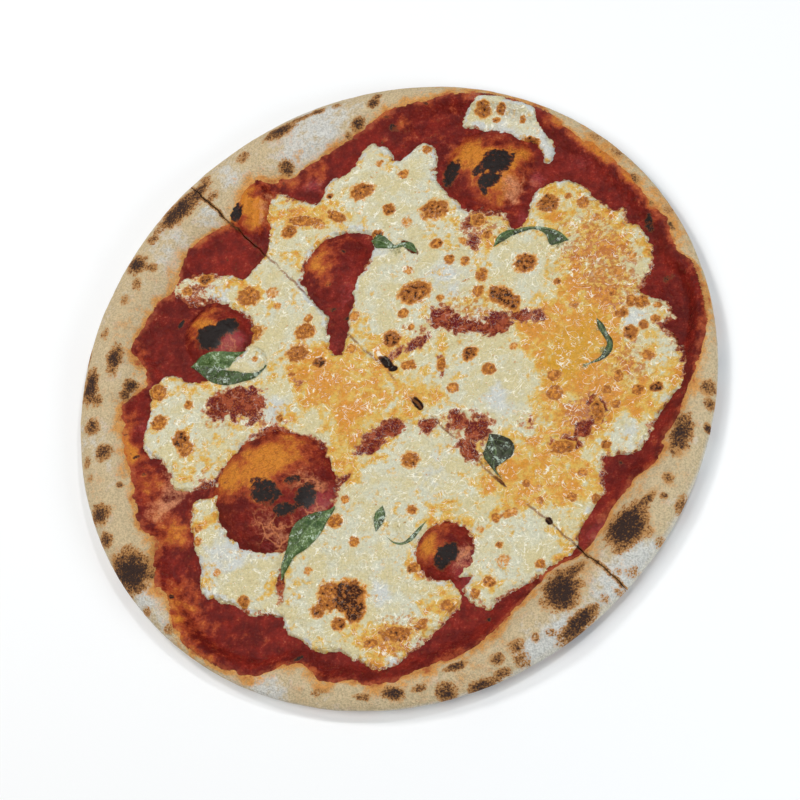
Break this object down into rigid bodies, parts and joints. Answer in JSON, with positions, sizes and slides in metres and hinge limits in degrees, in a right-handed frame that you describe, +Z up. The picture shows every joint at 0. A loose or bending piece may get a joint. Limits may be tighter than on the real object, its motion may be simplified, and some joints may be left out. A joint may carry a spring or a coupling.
{
  "type": "margherita pizza",
  "caption": "Round margherita pizza with a charred, uneven rim, tomato sauce, melted cheese and basil leaves, cut once across the middle.",
  "frame": {"origin": "centre of the round pizza at the level of the table it lies on", "axes": "+Z up out of the toppings; +X and +Y lie in the table, and the knife cut runs from the -X +Y side to the +X -Y side"},
  "size_m": [0.3, 0.3, 0.0152],
  "materials": {
    "dough": "floury, baked, with browned and charred spots",
    "sauce": "moist, half dried",
    "cheese": "melted, oily, with browned blisters",
    "basil": "wilted, slightly glossy"
  },
  "bodies": {
    "root": {"crust_north_east": "dough", "crust_south_west": "dough", "sauce_north_east": "sauce", "sauce_south_west": "sauce", "cheese_north_east": "cheese", "cheese_south_west": "cheese", "cheese_north": "cheese", "basil_west": "basil", "basil_south_west": "basil", "basil_south_east": "basil", "basil_north": "basil", "basil_north_east": "basil", "basil_east": "basil", "basil_south": "basil"}
  },
  "joints": []
}
